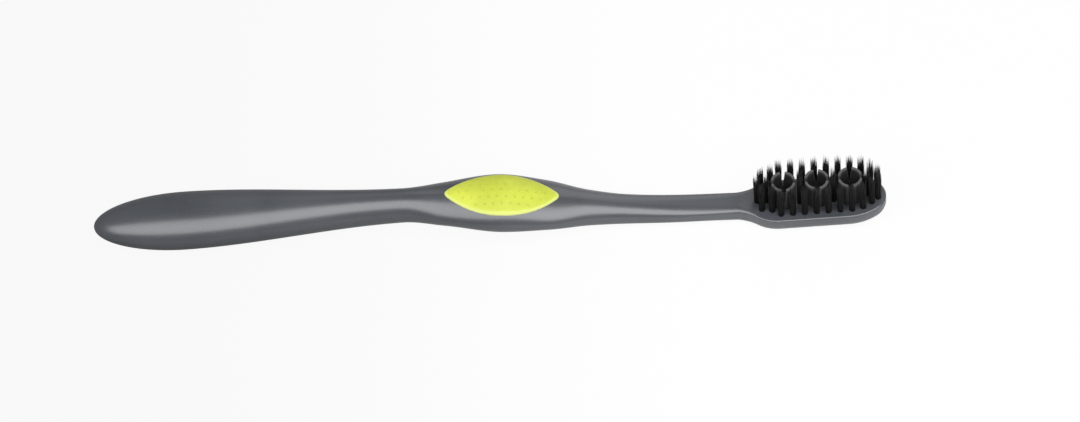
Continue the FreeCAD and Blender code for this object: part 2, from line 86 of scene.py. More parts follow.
def meshPiece(name, parts, material, sharp, replaces):
    # parts: (points in drawn millimetres, quads) put together in one mesh; doubles merged, faces outward
    points = np.concatenate([laid(p).reshape(-1, 3) for p, _ in parts])
    starts = np.cumsum([0] + [p.reshape(-1, 3).shape[0] for p, _ in parts])
    quads = np.concatenate([q + s for (_, q), s in zip(parts, starts)])
    mesh = bpy.data.meshes.new(name)
    mesh.vertices.add(len(points))
    mesh.vertices.foreach_set("co", points.astype(np.float32).ravel())
    mesh.loops.add(quads.size)
    mesh.loops.foreach_set("vertex_index", quads.astype(np.int32).ravel())
    mesh.polygons.add(len(quads))
    mesh.polygons.foreach_set("loop_start", np.arange(0, quads.size, 4, dtype=np.int32))
    mesh.update(calc_edges=True)
    work = bmesh.new()
    work.from_mesh(mesh)
    bmesh.ops.remove_doubles(work, verts=work.verts, dist=1e-7)
    bmesh.ops.dissolve_degenerate(work, edges=work.edges, dist=1e-8)
    bmesh.ops.recalc_face_normals(work, faces=work.faces)
    work.to_mesh(mesh)
    work.free()
    mesh.shade_smooth()
    mesh.set_sharp_from_angle(angle=math.radians(sharp))
    piece = bpy.data.objects.new(name, mesh)
    bpy.context.scene.collection.objects.link(piece)
    mesh.materials.append(material)
    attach(piece, "root")
    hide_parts(*replaces)
    return piece


def drawnSpots(mesh):
    # the mesh's points taken back to drawn millimetres
    spots = np.zeros(len(mesh.vertices) * 3, np.float32)
    mesh.vertices.foreach_get("co", spots)
    far, y, high = (spots.reshape(-1, 3) * 1000 - [lay["shiftX"], 0, lay["shiftZ"]]).T
    return far * lay["cos"] + high * lay["sin"], y, high * lay["cos"] - far * lay["sin"]


def pointValues(mesh, name, values):
    # one number per point, for a material to read
    mesh.attributes.new(name, "FLOAT", "POINT").data.foreach_set("value", values.astype(np.float32))


# Materials
def linear(hexColour):
    # sRGB hex to linear colour
    values = [int(hexColour[k:k + 2], 16) / 255 for k in (1, 3, 5)]
    return [v / 12.92 if v <= 0.04045 else ((v + 0.055) / 1.055) ** 2.4 for v in values] + [1]


def node(tree, kind, settings=None, stops=(), **inputs):
    # one node with its settings and colour stops; an input is a value or another node's socket
    made = tree.nodes.new(kind)
    for key, value in (settings or {}).items():
        setattr(made, key, value)
    for index, (at, colour) in enumerate(stops):
        made.color_ramp.interpolation = "EASE"
        stop = made.color_ramp.elements[index]
        stop.position = at
        stop.color = colour if isinstance(colour, list) else (colour, colour, colour, 1)
    for key, value in inputs.items():
        socket = made.inputs[int(key[1:])] if key[0] == "_" else made.inputs[key.replace("_", " ")]
        if isinstance(value, bpy.types.NodeSocket):
            tree.links.new(value, socket)
        else:
            socket.default_value = value
    return made


def blankMaterial(name):
    material = bpy.data.materials.new(name)
    material.use_nodes = True
    tree = material.node_tree
    shader = tree.nodes["Principled BSDF"]
    place = node(tree, "ShaderNodeTexCoord").outputs["Object"]
    return material, tree, shader, place


def perMm(sizeMm):
    # noise scale for a pattern of that size on object coordinates in metres
    return 1000 / sizeMm


def handlePolypropylene():
    # moulded polypropylene with a little mica: satin charcoal grey with a faint pearly sparkle
    material, tree, shader, place = blankMaterial("handlePolypropylene")
    flake = node(tree, "ShaderNodeTexNoise", Vector=place, Scale=perMm(0.45), Detail=3.0, Roughness=0.6)
    cloud = node(tree, "ShaderNodeTexNoise", Vector=place, Scale=perMm(16), Detail=2.0)
    blend = node(tree, "ShaderNodeMath", {"operation": "MULTIPLY_ADD"},
                 _0=flake.outputs["Fac"], _1=0.7, _2=cloud.outputs["Fac"])
    tone = node(tree, "ShaderNodeValToRGB", Fac=blend.outputs[0],
                stops=[(0.5, linear("#3c3f44")), (1.0, linear("#484b50"))])
    tree.links.new(tone.outputs[0], shader.inputs["Base Color"])
    gloss = node(tree, "ShaderNodeValToRGB", Fac=cloud.outputs["Fac"], stops=[(0.2, 0.28), (0.8, 0.31)])
    tree.links.new(gloss.outputs[0], shader.inputs["Roughness"])
    shader.inputs["IOR"].default_value = 1.5
    shader.inputs["Specular IOR Level"].default_value = 0.9
    bump = node(tree, "ShaderNodeBump", Strength=0.04, Distance=0.0001, Height=flake.outputs["Fac"])
    tree.links.new(bump.outputs["Normal"], shader.inputs["Normal"])
    return material


def gripElastomer():
    # over-moulded thermoplastic elastomer: soft satin lime green that lets a little light in,
    # with a painted highlight: a paler border all round, where the rolled edge catches light
    material, tree, shader, place = blankMaterial("gripElastomer")
    cloud = node(tree, "ShaderNodeTexNoise", Vector=place, Scale=perMm(9), Detail=3.0)
    field = node(tree, "ShaderNodeValToRGB", Fac=cloud.outputs["Fac"],
                 stops=[(0.3, linear("#bac343")), (0.7, linear("#c6cf4c"))])
    # painted highlight: the rim attribute mixes in the pale border colour near the pad's outline
    rim = node(tree, "ShaderNodeAttribute", {"attribute_name": "rim"})
    tone = node(tree, "ShaderNodeMix", {"data_type": "RGBA"},
                _0=rim.outputs["Fac"], _6=field.outputs[0], _7=linear("#cfd77a"))
    tree.links.new(tone.outputs[2], shader.inputs["Base Color"])
    grain = node(tree, "ShaderNodeTexNoise", Vector=place, Scale=perMm(0.3), Detail=2.0)
    bump = node(tree, "ShaderNodeBump", Strength=0.1, Distance=0.0001, Height=grain.outputs["Fac"])
    tree.links.new(bump.outputs["Normal"], shader.inputs["Normal"])
    shader.inputs["Roughness"].default_value = 0.5
    shader.inputs["IOR"].default_value = 1.5
    shader.inputs["Specular IOR Level"].default_value = 0.3
    shader.inputs["Subsurface Weight"].default_value = 0.3
    shader.inputs["Subsurface Scale"].default_value = 0.0009
    shader.inputs["Subsurface Radius"].default_value = (1.0, 0.9, 0.3)
    return material


def cupElastomer():
    # moulded thermoplastic elastomer: dark grey satin, with a painted highlight: paler at the thin rims and
    # along the slit edges, where they catch light
    material, tree, shader, place = blankMaterial("cupElastomer")
    cloud = node(tree, "ShaderNodeTexNoise", Vector=place, Scale=perMm(1.2), Detail=3.0)
    low = node(tree, "ShaderNodeValToRGB", Fac=cloud.outputs["Fac"],
               stops=[(0.3, linear("#232424")), (0.7, linear("#2d2d2e"))])
    # painted highlight: the rim attribute mixes in the pale colour at the rims and slit edges
    rim = node(tree, "ShaderNodeAttribute", {"attribute_name": "rim"})
    tone = node(tree, "ShaderNodeMix", {"data_type": "RGBA"},
                _0=rim.outputs["Fac"], _6=low.outputs[0], _7=linear("#525253"))
    tree.links.new(tone.outputs[2], shader.inputs["Base Color"])
    shader.inputs["Roughness"].default_value = 0.5
    shader.inputs["IOR"].default_value = 1.5
    return material


def cleanerElastomer():
    # moulded thermoplastic elastomer: near-black brown-grey, dull, with a fine eroded mould grain
    material, tree, shader, place = blankMaterial("cleanerElastomer")
    cloud = node(tree, "ShaderNodeTexNoise", Vector=place, Scale=perMm(2.5), Detail=3.0)
    tone = node(tree, "ShaderNodeValToRGB", Fac=cloud.outputs["Fac"],
                stops=[(0.3, linear("#242221")), (0.7, linear("#302d2c"))])
    tree.links.new(tone.outputs[0], shader.inputs["Base Color"])
    grain = node(tree, "ShaderNodeTexNoise", Vector=place, Scale=perMm(0.25), Detail=2.0)
    bump = node(tree, "ShaderNodeBump", Strength=0.15, Distance=0.0001, Height=grain.outputs["Fac"])
    tree.links.new(bump.outputs["Normal"], shader.inputs["Normal"])
    shader.inputs["Roughness"].default_value = 0.55
    shader.inputs["IOR"].default_value = 1.5
    return material


def bristleNylon():
    # drawn nylon filament: black, each thread a slightly different tone,
    # greyer where its tip tapers to nothing
    material, tree, shader, _ = blankMaterial("bristleNylon")
    thread = node(tree, "ShaderNodeAttribute", {"attribute_name": "thread"})
    body = node(tree, "ShaderNodeValToRGB", Fac=thread.outputs["Fac"],
                stops=[(0.0, linear("#0b0b0c")), (1.0, linear("#181819"))])
    tip = node(tree, "ShaderNodeAttribute", {"attribute_name": "tip"})
    tone = node(tree, "ShaderNodeMix", {"data_type": "RGBA"},
                _0=tip.outputs["Fac"], _6=body.outputs[0], _7=linear("#464647"))
    tree.links.new(tone.outputs[2], shader.inputs["Base Color"])
    shader.inputs["Roughness"].default_value = 0.6
    shader.inputs["Specular IOR Level"].default_value = 0.13
    shader.inputs["IOR"].default_value = 1.55
    return material


def anchorBrass():
    # rolled flat brass wire: bare, finely scratched along its run
    material, tree, shader, place = blankMaterial("anchorBrass")
    scratch = node(tree, "ShaderNodeTexNoise", Vector=place, Scale=perMm(0.2), Detail=2.0)
    tone = node(tree, "ShaderNodeValToRGB", Fac=scratch.outputs["Fac"],
                stops=[(0.3, linear("#b08d4a")), (0.7, linear("#d2b36c"))])
    tree.links.new(tone.outputs[0], shader.inputs["Base Color"])
    gloss = node(tree, "ShaderNodeValToRGB", Fac=scratch.outputs["Fac"], stops=[(0.3, 0.28), (0.7, 0.4)])
    tree.links.new(gloss.outputs[0], shader.inputs["Roughness"])
    shader.inputs["Metallic"].default_value = 1.0
    return material


finish = {
    "handle": handlePolypropylene(),
    "grip": gripElastomer(),
    "cup": cupElastomer(),
    "cleaner": cleanerElastomer(),
    "bristle": bristleNylon(),
    "anchor": anchorBrass(),
}
print("materials made:", len(finish))

# Handle, neck and head in one moulding.
# Key sections from the butt to the head's heel: half width, heights of the top, of the back and of the
# widest line, and the corner rounding as a share of each quarter (1 gives an oval). The top has keys of
# its own, because it swells between the ends of the grip, and a power: less than 2 gives flatter flanks.
handle = {
    "keyX": [22.0, 74.4, 84.0, 97.6, 109.0, 119.0, 128.3, 141.0, 147.0, 156.0],
    "half": [7.65, 4.175, 5.85, 7.9, 6.8, 4.55, 3.6, 3.34, 3.22, 3.0],
    "topX": [22.0, 74.4, 85.0, 97.2, 110.5, 119.0, 128.3, 141.0, 147.0, 156.0],
    "top": [14.075, 12.72, 12.1, 12.02, 8.45, 6.15, 3.8, 1.8, 1.3, 0.8],
    "topPower": [2.0, 1.92, 1.6, 1.82, 1.68, 1.8, 2.0, 2.0, 2.0, 2.0],
    "back": [3.14, 4.575, 3.87, 2.0, 0.6, -0.88, -1.98, -2.97, -3.2, -3.6],
    "middle": [8.608, 8.68, 8.45, 6.95, 5.164, 2.854, 1.026, -0.06, -0.23, -0.696],
    "topRound": [1.0, 1.0, 1.0, 1.0, 0.99, 0.97, 0.92, 0.82, 0.74, 0.45],
    "backRound": [1.0, 1.0, 1.0, 1.0, 0.95, 0.87, 0.8, 0.72, 0.66, 0.5],
    "dome": 22.0,
    "tip": 190.0,
    "closeRibs": 150.0,
    "neckEnd": 154.5,
    "faceStart": 161.0,
    "flareStart": 153.2,
    "flareLength": 11.0,
    "flareHalf": 3.0,
    "headHalf": 6.3,
    "headMiddle": -1.5,
    "backLevel": -4.2,
    "edgeRound": 0.5,
    "backAcross": 1.55,
    "backUp": 2.3,
    "toeLength": 9.4,
    "sideRadius": 12.96,
    "noseRadius": 4.95,
    "recessInset": 1.8,
    "recessHeel": 165.4,
    "recessDepth": 0.45,
}


def flareHalf(x):
    # two equal tangent arcs, hollow then swelling, from the neck's half width to the head's
    h = handle
    run, gain = h["flareLength"], h["headHalf"] - h["flareHalf"]
    radius = (run**2 + gain**2) / (4 * gain)
    t = np.clip(x - h["flareStart"], 0, run)
    hollow = h["flareHalf"] + radius - np.sqrt(radius**2 - np.minimum(t, run / 2) ** 2)
    swell = h["headHalf"] - radius + np.sqrt(radius**2 - np.minimum(run - t, run / 2) ** 2)
    return np.where(t < run / 2, hollow, swell)


def toeReach(angle, inset=0.0):
    # distance from the toe's fan centre to the outline: the side arc, then the nose arc near the axis
    h = handle
    side, nose = h["sideRadius"], h["noseRadius"]
    drop = side - h["headHalf"]
    ahead = h["toeLength"] - nose
    s, c = np.abs(np.sin(angle)), np.cos(angle)
    onSide = -drop * s + np.sqrt((drop * s) ** 2 - drop**2 + (side - inset) ** 2)
    onNose = ahead * c + np.sqrt(np.maximum((ahead * c) ** 2 - ahead**2 + (nose - inset) ** 2, 0))
    lean = math.atan2(drop, ahead)
    joint = math.atan2((nose - inset) * math.sin(lean), ahead + (nose - inset) * math.cos(lean))
    return np.where(np.abs(angle) > joint, onSide, onNose)


def recessHalf(x):
    # half width of the tongue cleaner's recess: a round heel, then straight sides
    h = handle
    edge = h["headHalf"] - h["recessInset"]
    back = np.clip(h["recessHeel"] - x, 0, edge)
    return np.sqrt(edge**2 - back**2)


def handleRows(x):
    # the section's numbers at each station, the head's blended in over the flare
    h = handle
    keyX = h["keyX"]
    inNeck = np.clip(x, h["dome"], keyX[-1])
    dome = np.sqrt(np.clip(1 - (np.maximum(h["dome"] - x, 0) / h["dome"]) ** 2, 0, 1))
    half = curve(keyX, h["half"], inNeck) * dome
    top, back = curve(h["topX"], h["top"], inNeck), curve(keyX, h["back"], inNeck)
    middle = curve(keyX, h["middle"], inNeck)
    top, back = middle + (top - middle) * dome, middle + (back - middle) * dome
    topAcross = curve(keyX, h["topRound"], inNeck) * half
    backAcross = curve(keyX, h["backRound"], inNeck) * half
    topDown = curve(keyX, h["topRound"], inNeck) * (top - middle)
    backUp = curve(keyX, h["backRound"], inNeck) * (middle - back)
    isHead = smooth((x - h["neckEnd"]) / (h["faceStart"] - h["neckEnd"]))
    half = np.where(x > h["flareStart"], np.maximum(flareHalf(x), half * (x < keyX[-1])), half)
    top = top * (1 - isHead)
    middle = middle * (1 - isHead) + h["headMiddle"] * isHead
    back = back * (1 - isHead) + h["backLevel"] * isHead
    edge = h["edgeRound"]
    topAcross = topAcross * (1 - isHead) + edge * isHead
    topDown = topDown * (1 - isHead) + edge * isHead
    backAcross = backAcross * (1 - isHead) + h["backAcross"] * isHead
    backUp = backUp * (1 - isHead) + h["backUp"] * isHead
    power = curve(h["topX"], h["topPower"], inNeck)
    return half, top, middle, back, topAcross, topDown, backAcross, backUp, power


def ribProfile(numbers, recess, step):
    # half section from the top's middle to the back's: flat, rounded edge, wall, rounded edge, rim, recess
    half, top, middle, back, topAcross, topDown, backAcross, backUp, power = [v[:, None] for v in numbers]
    recess, step = recess[:, None], step[:, None]
    flat = np.linspace(0, 1, 9)[None, :-1]
    turn = np.linspace(0, math.pi / 2, 13)[None, :]
    wall = np.linspace(0, 1, 5)[None, 1:-1]
    rim = np.linspace(0, 1, 5)[None, 1:]
    floor = np.linspace(0, 1, 5)[None, :]
    edgeIn, underIn = half - topAcross, half - backAcross
    topEnd, backEnd = top - topDown, back + backUp
    topOut, topUp = np.sin(turn) ** (2 / power), np.cos(turn) ** (2 / power)
    across = [edgeIn * flat, edgeIn + topAcross * topOut, half + 0 * wall,
              underIn + backAcross * np.cos(turn), underIn + (recess - underIn) * rim, recess * (1 - floor)]
    height = [top + 0 * flat, topEnd + topDown * topUp, topEnd + (backEnd - topEnd) * wall,
              backEnd - backUp * np.sin(turn), back + 0 * rim, back + step + 0 * floor]
    return np.concatenate(across, 1), np.concatenate(height, 1)


def handleSurface():
    # ribs stand across the axis from the butt to the toe's centre, then fan round the toe and come back
    h = handle
    toeX = h["tip"] - h["toeLength"]
    edge = h["headHalf"] - h["recessInset"]
    dome = h["dome"] * (1 - np.cos(np.linspace(0, math.pi / 2, 30)))
    body = np.linspace(h["dome"], h["closeRibs"], 88)[1:]
    neck = np.linspace(h["closeRibs"], h["recessHeel"] - edge, 30)[1:]
    heel = h["recessHeel"] - edge * np.cos(np.linspace(0, math.pi / 2, 16))
    head = np.linspace(h["recessHeel"], toeX, 9)[1:-1]
    x = np.concatenate([dome, body, neck, heel, head])
    opened = np.concatenate([np.zeros(len(dome) + len(body) + len(neck)), np.ones(len(heel) + len(head))])
    step = opened * h["recessDepth"]
    numbers = handleRows(x)
    across, height = ribProfile(numbers, recessHalf(x) * opened, step)
    straight = [np.stack([x[:, None] + 0 * across, side * across, height], -1) for side in (1, -1)]
    angle = np.linspace(math.pi / 2, -math.pi / 2, 61)
    toeNumbers = [np.full_like(angle, v[-1]) for v in numbers]
    toeNumbers[0] = toeReach(angle)
    recess = toeReach(angle, h["recessInset"])
    across, height = ribProfile(toeNumbers, recess, np.full_like(angle, h["recessDepth"]))
    fan = np.stack([toeX + across * np.cos(angle)[:, None], across * np.sin(angle)[:, None], height], -1)
    ribs = np.concatenate([straight[0], fan, straight[1][::-1]])
    return ribs, gridFaces(*ribs.shape[:2])


def skinHeight(x, y):
    # the handle's upper surface over a point, on its oval part
    numbers = [v.reshape(np.shape(x)) for v in handleRows(np.asarray(x, float).ravel())]
    half, top, middle, power = numbers[0], numbers[1], numbers[2], numbers[-1]
    return middle + (top - middle) * np.clip(1 - np.abs(y / half) ** power, 0, 1) ** (1 / power)


handlePiece = meshPiece("handleShell", [handleSurface()], finish["handle"],
                        sharp=40, replaces=["handle"])
print("handle:", len(handlePiece.data.polygons), "faces")

# Thumb grip: a lens of rubber standing a little proud of the bulge
grip = {
    "middle": 98.2, "length": 27.2, "width": 12.0, "endRadius": 1.2,
    "proud": 0.42, "edgeRound": 0.7, "sunk": 0.5,
    "dotPitch": 2.05, "dotRadius": 0.3, "dotHeight": 0.17, "dotMargin": 1.1, "dotSunk": 0.02,
    # painted highlight: width and fade of the pale border
    "paintedEdgeHighlight": 0.85, "paintedHighlightFade": 0.6,
}


def lensReach(angle):
    # distance from the centre to the lens outline of two side arcs and two round ends
    half, reach, end = grip["width"] / 2, grip["length"] / 2, grip["endRadius"]
    side = ((reach - end) ** 2 + half**2 - end**2) / (2 * (half - end))
    lean = math.atan2(side - half, reach - end)
    s, c = np.abs(np.sin(angle)), np.abs(np.cos(angle))
    drop, ahead = side - half, reach - end
    onSide = -drop * s + np.sqrt((drop * s) ** 2 - drop**2 + side**2)
    onEnd = ahead * c + np.sqrt(np.maximum((ahead * c) ** 2 - ahead**2 + end**2, 0))
    joint = math.atan2(end * math.sin(lean), ahead + end * math.cos(lean))
    return np.where(np.arctan2(s, c) > joint, onSide, onEnd)


def domes(centres, lifts, radius, height, sides=10):
    # low caps on given centres: rings at shares of the radius, the height falling as a quarter ellipse
    turn = np.linspace(0, 2 * math.pi, sides, endpoint=False)
    ring = np.array([0.0, 0.35, 0.65, 0.88, 1.0])
    rise = np.sqrt(np.clip(1 - ring**2, 0, 1)) * height
    offset = np.stack([ring[:, None] * radius * np.cos(turn), ring[:, None] * radius * np.sin(turn)], -1)
    xy = centres[:, None, None, :] + offset[None]
    z = lifts(xy) + np.broadcast_to(rise[None, :, None], xy.shape[:-1])
    points = np.concatenate([xy, z[..., None]], -1)
    starts = np.arange(len(centres)) * ring.size * sides
    quads = np.concatenate([gridFaces(ring.size, sides, s, closeColumns=True) for s in starts])
    return points.reshape(-1, 3), quads


def levelLift(xy):
    # caps on level ground
    return 0 * xy[..., 0]


def staggered(box, pitch):
    # grid points whose rows are shifted by half a pitch in turn
    steps = np.arange(-40, 41)
    i, j = np.meshgrid(steps, steps)
    points = np.stack([(i + (j % 2) / 2) * pitch, j * pitch * math.sin(math.pi / 3)], -1).reshape(-1, 2)
    inside = (np.abs(points[:, 0]) < box[0]) & (np.abs(points[:, 1]) < box[1])
    return points[inside]


def gripSurface():
    # polar grid over the lens: the skin's height plus a level crown that rolls off at the edge
    g = grip
    angle = np.linspace(0, 2 * math.pi, 160, endpoint=False)
    outline = lensReach(angle)
    roll = np.linspace(0, math.pi / 2, 9)
    inside = np.linspace(0, 1, 16)[:-1, None] * (outline - g["edgeRound"])[None, :]
    edge = (outline - g["edgeRound"])[None, :] + g["edgeRound"] * np.sin(roll)[:, None]
    reach = np.concatenate([inside, edge, outline[None, :]])
    level = np.full(len(inside), g["proud"])
    rolled = g["proud"] - g["proud"] * (1 - np.cos(roll))
    lift = np.concatenate([level, rolled, [-g["sunk"]]])
    x = g["middle"] + reach * np.cos(angle)
    y = reach * np.sin(angle)
    z = skinHeight(x, y) + lift[:, None]
    return np.stack([x, y, z], -1), gridFaces(*reach.shape, closeColumns=True)


def gripTop(xy):
    # the grip's crown over a point, less what a dot sinks in
    return skinHeight(xy[..., 0], xy[..., 1]) + grip["proud"] - grip["dotSunk"]


def gripDots():
    # small raised dots on a staggered grid, kept inside the lens
    g = grip
    places = staggered((g["length"] / 2, g["width"] / 2), g["dotPitch"])
    angle = np.arctan2(places[:, 1], places[:, 0])
    room = lensReach(angle) - g["dotMargin"]
    places = places[np.hypot(*places.T) < room] + [g["middle"], 0]
    return domes(places, gripTop, g["dotRadius"], g["dotHeight"])


def paintedEdgeHighlight(mesh):
    # painted highlight: how pale each point is, full near the outline where the rolled edge catches light,
    # nothing further in
    x, y, _ = drawnSpots(mesh)
    x = x - grip["middle"]
    toBorder = lensReach(np.arctan2(y, x)) - np.hypot(x, y)
    return smooth((grip["paintedEdgeHighlight"] - toBorder) / grip["paintedHighlightFade"])


gripPiece = meshPiece("thumbGripPad", [gripSurface(), gripDots()], finish["grip"],
                      sharp=60, replaces=["thumb_grip"])
# painted highlight: the pale border, stored as the rim attribute
pointValues(gripPiece.data, "rim", paintedEdgeHighlight(gripPiece.data))
print("thumb grip:", len(gripPiece.data.polygons), "faces")

# Bristle tufts: threads with fine tips of uneven height
bristle = {
    "threads": 84, "radius": 0.08, "tipRadius": 0.01, "bundle": 0.68, "spread": 0.15,
    "root": -1.6, "height": 10.9, "taper": 4.6, "uneven": 4.0, "sides": 5, "seed": 11,
    "spiralTurn": 2.399963, "spiralStart": 6.28, "footJitter": 0.015, "leanJitter": 0.05, "bowJitter": 0.03,
    "rowY": 4.15, "rowBack": 8.45, "rowPitch": 2.84, "rowTufts": 7,
    "toeArc": [(0.686, 0.88), (0.426, 0.57), (0.237, 0.26)],
    "flankStart": 2.06, "flankPitch": 2.4, "flankShares": [0.69, 0.58],
    "pairs": [(169.4, 0.95), (177.4, 0.95)], "onAxis": [(161.4, 0.0), (159.0, 0.0), (185.4, 0.0)],
}


def tuftPlaces():
    # toe arc, side rows, pairs between the cups and the heel's cluster, as the part has them
    b = bristle
    tip, rowY = handle["tip"], b["rowY"]
    rows = [(tip - b["rowBack"] - b["rowPitch"] * k, rowY) for k in range(b["rowTufts"])]
    toe = [(tip - b["rowBack"] * back, share * rowY) for back, share in b["toeArc"]]
    first = rows[-1][0] - b["flankStart"]
    flanks = [(first - b["flankPitch"] * k, share * rowY) for k, share in enumerate(b["flankShares"])]
    sides = rows + toe + flanks + b["pairs"]
    places = b["onAxis"] + sides + [(x, -y) for x, y in sides]
    return sorted(places, key=lambda p: (round(p[0], 3), p[1]))


def tuftBundle(place, seed):
    # threads on a sunflower spiral, each a tapered tube that leans out a little and ends in a fine tip
    b = bristle
    dice = np.random.default_rng(seed)
    count = b["threads"]
    k = np.arange(count)
    out = b["bundle"] * np.sqrt((k + 0.5) / count)
    around = k * b["spiralTurn"] + dice.uniform(0, b["spiralStart"])
    foot = np.stack([out * np.cos(around), out * np.sin(around)], -1)
    foot = foot + dice.normal(0, b["footJitter"], (count, 2))
    lean = foot / b["bundle"] * b["spread"] + dice.normal(0, b["leanJitter"], (count, 2))
    bow = dice.normal(0, b["bowJitter"], (count, 2))
    height = b["height"] - b["uneven"] * dice.uniform(0, 1, count)
    share = np.array([0.0, 0.35, 0.62, 0.74, 0.84, 0.93, 1.0])  # rings up a thread, closer near its tip
    z = b["root"] + (height[:, None] - b["root"]) * share
    left = (height[:, None] - z) / b["taper"]
    radius = b["tipRadius"] + (b["radius"] - b["tipRadius"]) * np.clip(left, 0, 1) ** 1.2
    radius[:, -1] = b["tipRadius"] * 0.3
    axis = foot[:, None] + lean[:, None] * (share**1.6)[None, :, None]
    axis = axis + bow[:, None] * np.sin(math.pi * share)[None, :, None]
    turn = np.linspace(0, 2 * math.pi, b["sides"], endpoint=False)
    ring = np.stack([np.cos(turn), np.sin(turn)], -1)
    xy = axis[:, :, None] + radius[:, :, None, None] * ring[None, None] + np.array(place)
    points = np.concatenate([xy, np.broadcast_to(z[:, :, None, None], xy.shape[:-1] + (1,))], -1)
    size = share.size * b["sides"]
    starts = np.arange(count) * size
    quads = np.concatenate([gridFaces(share.size, b["sides"], s, closeColumns=True) for s in starts])
    tips = starts[:, None] + size - b["sides"] + np.arange(b["sides"])
    roots = starts[:, None] + np.arange(b["sides"])[::-1]
    faces = quads.tolist() + tips.tolist() + roots.tolist()
    tone = np.repeat(dice.uniform(0, 1, count), size)
    tip = np.repeat((1 - np.clip(left, 0, 1)) ** 3, b["sides"])
    return points.reshape(-1, 3), faces, {"thread": tone, "tip": tip}


for index, place in enumerate(tuftPlaces(), start=1):
    points, faces, values = tuftBundle(place, bristle["seed"] + index)
    mesh = bpy.data.meshes.new(f"bristleTuft_{index:02d}")
    mesh.from_pydata(laid(points), [], faces)
    for name, value in values.items():
        pointValues(mesh, name, value)
    mesh.shade_smooth()
    mesh.materials.append(finish["bristle"])
    tuft = bpy.data.objects.new(f"bristleTuft_{index:02d}", mesh)
    bpy.context.scene.collection.objects.link(tuft)
    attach(tuft, "root")
    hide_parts(f"tuft_{index:02d}")
print("tufts:", index, "of", bristle["threads"], "threads")

# Polishing cups: a low collar that parts into four curved walls
cup = {
    "places": [165.4, 173.4, 181.4], "radius": 2.93, "wall": 0.62, "height": 7.7, "slit": 1.15,
    "rimRound": 0.09, "flare": 0.05, "sunk": 0.4, "collar": 2.6, "collarInset": 0.01, "slitFoot": 0.12,
    "endDraw": 0.72, "foot": 0.16, "footRound": 0.12, "footRings": [0.0, 0.8, 1.6, 2.2],
    # painted highlight: pale band at the rim and along the slit edges
    "rimPale": 0.2, "rimFade": 0.15, "slitPale": 0.14, "slitFade": 0.1, "slitRise": 2.0, "slitHighlightShare": 0.6,
}


def cupSlit(up):
    # width of the slits at a height: a notch that closes in a straight taper down to the collar
    c = cup
    share = np.clip((up - c["collar"]) / (c["height"] - c["collar"]), 0, 1)
    return c["slitFoot"] + (c["slit"] - c["slitFoot"]) * share


def cupWalls(x):
    # four curved walls: a rounded upright section carried round an arc, its ends drawn in to close
    c = cup
    stations = np.concatenate([[-1.0], np.linspace(-1, 1, 15), [1.0]])
    middleRadius = c["radius"] - c["wall"] / 2
    ends = np.ones(stations.size)
    ends[[0, -1]] = 0.0
    ends[[1, -2]] = c["endDraw"]
    turn = np.linspace(0, math.pi / 2, 5)
    half, soft = c["wall"] / 2, c["rimRound"]
    side = np.linspace(-c["sunk"], c["height"] - soft, 8)
    outer = np.concatenate([np.full(side.size - 1, half), half - soft + soft * np.cos(turn)])
    outerUp = np.concatenate([side[:-1], side[-1] + soft * np.sin(turn)])
    sectionOut = np.concatenate([outer, -outer[::-1]])
    sectionUp = np.concatenate([outerUp, outerUp[::-1]])
    halfSpan = math.pi / 4 - cupSlit(sectionUp) / 2 / middleRadius
    up = sectionUp[None, :] * np.ones((stations.size, 1))
    lifted = c["flare"] * np.clip(up / c["height"], 0, 1)
    out = middleRadius + sectionOut[None, :] * ends[:, None] + lifted
    parts = []
    for quarter in range(4):
        angle = math.pi / 4 + quarter * math.pi / 2 + stations[:, None] * halfSpan[None, :]
        points = np.stack([x + out * np.cos(angle), out * np.sin(angle), up], -1)
        parts.append((points, gridFaces(*out.shape, closeColumns=True)))
    return parts


def cupFoot(x):
    # low disc: level top, rounded rim, straight side down into its seat
    c = cup
    turn = np.linspace(0, 2 * math.pi, 48, endpoint=False)
    roll = np.linspace(0, math.pi / 2, 6)
    soft, level = c["footRound"], np.full(len(c["footRings"]), c["foot"])
    rounded = c["radius"] - soft + soft * np.sin(roll)
    ring = np.concatenate([c["footRings"], rounded, [c["radius"]]])[:, None]
    up = np.concatenate([level, c["foot"] - soft * (1 - np.cos(roll)), [-c["sunk"]]])[:, None]
    points = np.stack([x + ring * np.cos(turn), ring * np.sin(turn), up + 0 * turn], -1)
    return points, gridFaces(*points.shape[:2], closeColumns=True)


def cupCollar(x):
    # full ring that joins the walls low down: a rounded upright section turned about the cup's axis
    c = cup
    turn = np.linspace(0, 2 * math.pi, 64, endpoint=False)[:, None]
    roll = np.linspace(0, math.pi, 9)
    half = c["wall"] / 2 - c["collarInset"]
    out = c["radius"] - c["wall"] / 2 + np.concatenate([[half], half * np.cos(roll), [-half]])
    up = np.concatenate([[-c["sunk"]], c["collar"] - half + half * np.sin(roll), [-c["sunk"]]])
    points = np.stack([x + out * np.cos(turn), out * np.sin(turn), up + 0 * turn], -1)
    return points, gridFaces(*points.shape[:2], closeRows=True, closeColumns=True)


def paintedCupHighlights(mesh, x):
    # painted highlight: how pale each point is, full at the rim, less along the edges of the slits, where
    # they catch light
    c = cup
    along, across, up = drawnSpots(mesh)
    toSlit = np.minimum(np.abs(along - x), np.abs(across)) - cupSlit(up) / 2
    slitEdge = smooth((c["slitPale"] - toSlit) / c["slitFade"]) * smooth((up - c["collar"]) / c["slitRise"])
    atRim = smooth((up - c["height"] + c["rimPale"]) / c["rimFade"])
    return np.maximum(atRim, c["slitHighlightShare"] * slitEdge)


for index, x in enumerate(cup["places"], start=1):
    shapes = cupWalls(x) + [cupCollar(x), cupFoot(x)]
    piece = meshPiece(f"polishingCup_{index}", shapes, finish["cup"],
                      sharp=50, replaces=[f"polishing_cup_{index}"])
    # painted highlight at the rims and slit edges, stored as the rim attribute
    pointValues(piece.data, "rim", paintedCupHighlights(piece.data, x))
print("cups:", index)

